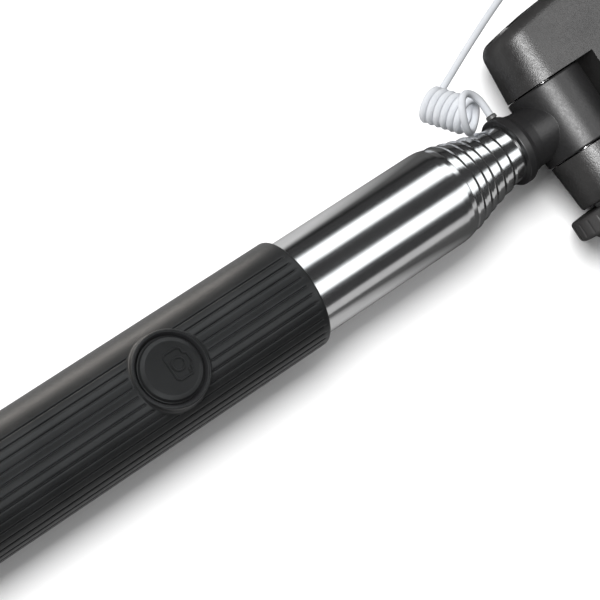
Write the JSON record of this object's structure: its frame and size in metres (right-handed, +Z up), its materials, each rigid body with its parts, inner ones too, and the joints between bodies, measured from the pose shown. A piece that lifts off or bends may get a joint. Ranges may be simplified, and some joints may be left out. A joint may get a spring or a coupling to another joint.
{
  "type": "telescopic phone stick",
  "caption": "Telescopic hand-held phone stick with a rubber grip, shutter button, nested chromed tubes, tilting sprung phone clamp and coiled signal cord.",
  "frame": {"origin": "centre of the flat butt end of the handle, on the pole's axis", "axes": "+X along the pole from the butt to the head, +Z up through the shutter button, +Y to the side the cord leaves"},
  "size_m": [0.2823, 0.0666, 0.0263],
  "materials": {
    "grip_rubber": "matte moulded rubber with shallow grooves",
    "chrome_tube": "bright chromed steel tube",
    "black_plastic": "black moulded plastic",
    "circuit_board": "green fibreglass board",
    "spring_steel": "plain spring steel",
    "lead_insulation": "thin insulated wire",
    "button_rubber": "satin moulded rubber, engraved shutter mark",
    "head_plastic": "dark grey plastic, fine eroded texture",
    "clamp_plastic": "dark grey plastic, fine eroded texture",
    "knob_plastic": "dark grey plastic, fine eroded texture",
    "pad_rubber": "soft black rubber",
    "cord_pvc": "white soft PVC",
    "plug_metal": "nickel plated brass",
    "fastener_steel": "zinc plated steel",
    "slide_nylon": "natural nylon"
  },
  "bodies": {
    "handle": {"grip_sleeve": "grip_rubber", "outer_tube": "chrome_tube", "end_cap": "black_plastic", "button_frame": "black_plastic", "switch_board": "circuit_board", "snap_dome": "spring_steel", "switch_lead": "lead_insulation"},
    "button": {"button_cap": "button_rubber"},
    "stage_2": {"tube_2": "chrome_tube", "friction_sleeve_2": "slide_nylon"},
    "stage_3": {"tube_3": "chrome_tube", "friction_sleeve_3": "slide_nylon"},
    "stage_4": {"tube_4": "chrome_tube", "friction_sleeve_4": "slide_nylon"},
    "stage_5": {"tube_5": "chrome_tube", "friction_sleeve_5": "slide_nylon"},
    "stage_6": {"tube_6": "chrome_tube", "friction_sleeve_6": "slide_nylon"},
    "stage_7": {"friction_sleeve_7": "slide_nylon"},
    "head": {"tube_7": "chrome_tube", "head_knuckle": "head_plastic", "cord_gland": "pad_rubber", "inner_cord": "cord_pvc", "cord_coil": "cord_pvc", "cord_run": "cord_pvc", "plug_boot": "cord_pvc", "plug_jack": "plug_metal", "plug_rings": "black_plastic"},
    "knob": {"thumb_knob": "knob_plastic", "hinge_bolt": "fastener_steel", "knob_washer": "fastener_steel"},
    "clamp": {"clamp_base": "clamp_plastic", "hinge_nut": "fastener_steel", "ear_cap": "knob_plastic", "back_cover": "clamp_plastic", "cover_screws": "fastener_steel", "spring_posts": "fastener_steel", "jaw_springs": "spring_steel", "lower_pad": "pad_rubber", "back_pad": "pad_rubber"},
    "jaw": {"outer_jaw": "clamp_plastic", "jaw_slide_plate": "slide_nylon", "slide_posts": "fastener_steel", "jaw_screws": "fastener_steel", "outer_pad": "pad_rubber"}
  },
  "joints": [
    {"name": "button_press", "type": "slide", "parent": "handle", "child": "button", "axis": [0, -0.0549, -0.9985], "range_m": [0, 0.0003], "stiffness_N_per_m": 4000, "springref_m": -0.0002},
    {"name": "slide_2", "type": "slide", "parent": "handle", "child": "stage_2", "axis": [1, 0, 0], "range_m": [0, 0.118]},
    {"name": "slide_3", "type": "slide", "parent": "stage_2", "child": "stage_3", "axis": [1, 0, 0], "range_m": [0, 0.118]},
    {"name": "slide_4", "type": "slide", "parent": "stage_3", "child": "stage_4", "axis": [1, 0, 0], "range_m": [0, 0.118]},
    {"name": "slide_5", "type": "slide", "parent": "stage_4", "child": "stage_5", "axis": [1, 0, 0], "range_m": [0, 0.118]},
    {"name": "slide_6", "type": "slide", "parent": "stage_5", "child": "stage_6", "axis": [1, 0, 0], "range_m": [0, 0.118]},
    {"name": "slide_7", "type": "slide", "parent": "stage_6", "child": "stage_7", "axis": [1, 0, 0], "range_m": [0, 0.118]},
    {"name": "head_turn", "type": "hinge", "parent": "stage_7", "child": "head", "pos_m": [0.16, 0, 0], "axis": [1, 0, 0], "range_deg": [-90, 90]},
    {"name": "clamp_tilt", "type": "hinge", "parent": "head", "child": "clamp", "pos_m": [0.1903, 0, 0], "axis": [0, -1, 0], "range_deg": [-30, 90]},
    {"name": "knob_turn", "type": "hinge", "parent": "clamp", "child": "knob", "pos_m": [0.1903, 0, 0], "axis": [0, 1, 0], "range_deg": [0, 270]},
    {"name": "jaw_slide", "type": "slide", "parent": "clamp", "child": "jaw", "axis": [1, 0, 0], "range_m": [0, 0.027], "stiffness_N_per_m": 300, "springref_m": -0.02}
  ]
}
